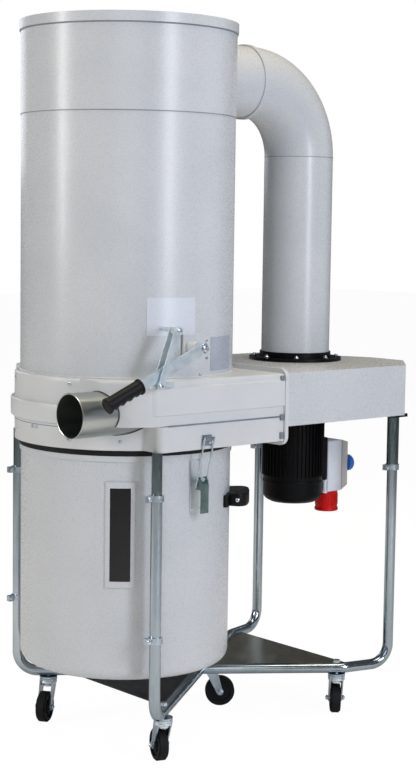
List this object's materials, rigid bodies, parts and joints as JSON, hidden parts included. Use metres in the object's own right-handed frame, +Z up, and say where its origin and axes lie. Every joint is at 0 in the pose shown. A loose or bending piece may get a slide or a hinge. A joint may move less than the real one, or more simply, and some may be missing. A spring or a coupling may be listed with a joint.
{
  "type": "mobile dust extractor",
  "caption": "Wheeled dust extractor: a tall filter drum on a cyclone housing over a latched bin, with a side fan box, elbow duct, motor and tube stand.",
  "frame": {"origin": "on the floor, under the middle of the whole machine's box", "axes": "+X from the drum towards the fan box, -Y the side with the inlet pipe and shaker lever, +Z up"},
  "size_m": [1.069, 0.615, 1.686],
  "materials": {
    "paint": "textured powder coat, semi-matt",
    "zinc": "bright zinc plate",
    "galvanised": "galvanised sheet",
    "black_rubber": "matt",
    "black_paint": "satin black",
    "black_plastic": "moulded, satin",
    "window": "dark smoked acrylic",
    "grey_plastic": "moulded, satin",
    "blue_plastic": "moulded, satin",
    "red_plastic": "moulded, satin",
    "tyre": "grey-black tread"
  },
  "bodies": {
    "root": {"drum_lid": "paint", "drum_upper": "paint", "drum_lower": "paint", "elbow": "paint", "elbow_collar": "paint", "duct_pipe": "paint", "fan_box": "paint", "fan_box_cover": "paint", "joint_frame": "paint", "separator_upper": "paint", "separator_lower": "paint", "collection_bin": "paint", "window_frame": "paint", "bin_seal": "black_rubber", "duct_flange": "black_rubber", "sight_window": "window", "inlet_pipe": "zinc", "latch_plates": "zinc", "latch_keepers": "zinc", "leg_stubs": "zinc", "leg_sleeves": "zinc", "leg_clamps": "zinc", "stand_tube_long": "zinc", "stand_tube_cross": "zinc", "caster_mounts": "zinc", "lever_bearing": "zinc", "lever_guide": "zinc", "bin_handle": "black_plastic", "motor_body": "black_paint", "motor_fan_cover": "black_paint", "stand_brackets": "black_paint", "switch_box": "grey_plastic", "switch_cap": "blue_plastic", "plug_inlet": "red_plastic", "front_tray": "galvanised", "rear_tray": "galvanised"},
    "front_latch": {"front_latch_lever": "zinc"},
    "front_bail": {"front_latch_bail": "zinc"},
    "rear_latch": {"rear_latch_lever": "zinc"},
    "rear_bail": {"rear_latch_bail": "zinc"},
    "lever": {"shaker_lever": "zinc", "lever_grip": "black_plastic"},
    "caster_1": {"caster_fork_1": "zinc"},
    "wheel_1": {"caster_wheel_1": "tyre"},
    "caster_2": {"caster_fork_2": "zinc"},
    "wheel_2": {"caster_wheel_2": "tyre"},
    "caster_3": {"caster_fork_3": "zinc"},
    "wheel_3": {"caster_wheel_3": "tyre"},
    "caster_4": {"caster_fork_4": "zinc"},
    "wheel_4": {"caster_wheel_4": "tyre"}
  },
  "joints": [
    {"name": "shaker_lever_turn", "type": "hinge", "parent": "root", "child": "lever", "pos_m": [-0.2505, -0.2925, 0.955], "axis": [0, 1, 0], "range_deg": [0, 33]},
    {"name": "front_latch_turn", "type": "hinge", "parent": "root", "child": "front_latch", "pos_m": [-0.2245, -0.26294, 0.65644], "axis": [-1, 0, 0], "range_deg": [0, 60]},
    {"name": "front_bail_turn", "type": "hinge", "parent": "front_latch", "child": "front_bail", "pos_m": [-0.2245, -0.2585, 0.639], "axis": [-1, 0, 0], "range_deg": [-75, 0]},
    {"name": "rear_latch_turn", "type": "hinge", "parent": "root", "child": "rear_latch", "pos_m": [-0.2245, 0.27794, 0.65644], "axis": [1, 0, 0], "range_deg": [0, 60]},
    {"name": "rear_bail_turn", "type": "hinge", "parent": "rear_latch", "child": "rear_bail", "pos_m": [-0.2245, 0.2735, 0.639], "axis": [1, 0, 0], "range_deg": [-75, 0]},
    {"name": "caster_1_swivel", "type": "hinge", "parent": "root", "child": "caster_1", "pos_m": [-0.2885, -0.21289, 0.101], "axis": [0, 0, 1], "continuous": true},
    {"name": "wheel_1_spin", "type": "hinge", "parent": "caster_1", "child": "wheel_1", "pos_m": [-0.27961, -0.18845, 0.0375], "axis": [-0.9397, 0.342, 0], "continuous": true},
    {"name": "caster_2_swivel", "type": "hinge", "parent": "root", "child": "caster_2", "pos_m": [-0.2925, 0.23082, 0.101], "axis": [0, 0, 1], "continuous": true},
    {"name": "wheel_2_spin", "type": "hinge", "parent": "caster_2", "child": "wheel_2", "pos_m": [-0.3138, 0.2159, 0.0375], "axis": [0.5736, -0.8192, 0], "continuous": true},
    {"name": "caster_3_swivel", "type": "hinge", "parent": "root", "child": "caster_3", "pos_m": [0.2895, -0.19551, 0.101], "axis": [0, 0, 1], "continuous": true},
    {"name": "wheel_3_spin", "type": "hinge", "parent": "caster_3", "child": "wheel_3", "pos_m": [0.30621, -0.1756, 0.0375], "axis": [-0.766, 0.6428, 0], "continuous": true},
    {"name": "caster_4_swivel", "type": "hinge", "parent": "root", "child": "caster_4", "pos_m": [0.0995, 0.07133, 0.101], "axis": [0, 0, 1], "continuous": true},
    {"name": "wheel_4_spin", "type": "hinge", "parent": "caster_4", "child": "wheel_4", "pos_m": [0.11999, 0.05533, 0.0375], "axis": [0.6157, 0.788, 0], "continuous": true}
  ],
  "couplings": [
    {"joint": "front_bail_turn", "follows": "front_latch_turn", "ratio": -0.855},
    {"joint": "rear_bail_turn", "follows": "rear_latch_turn", "ratio": -0.855}
  ]
}
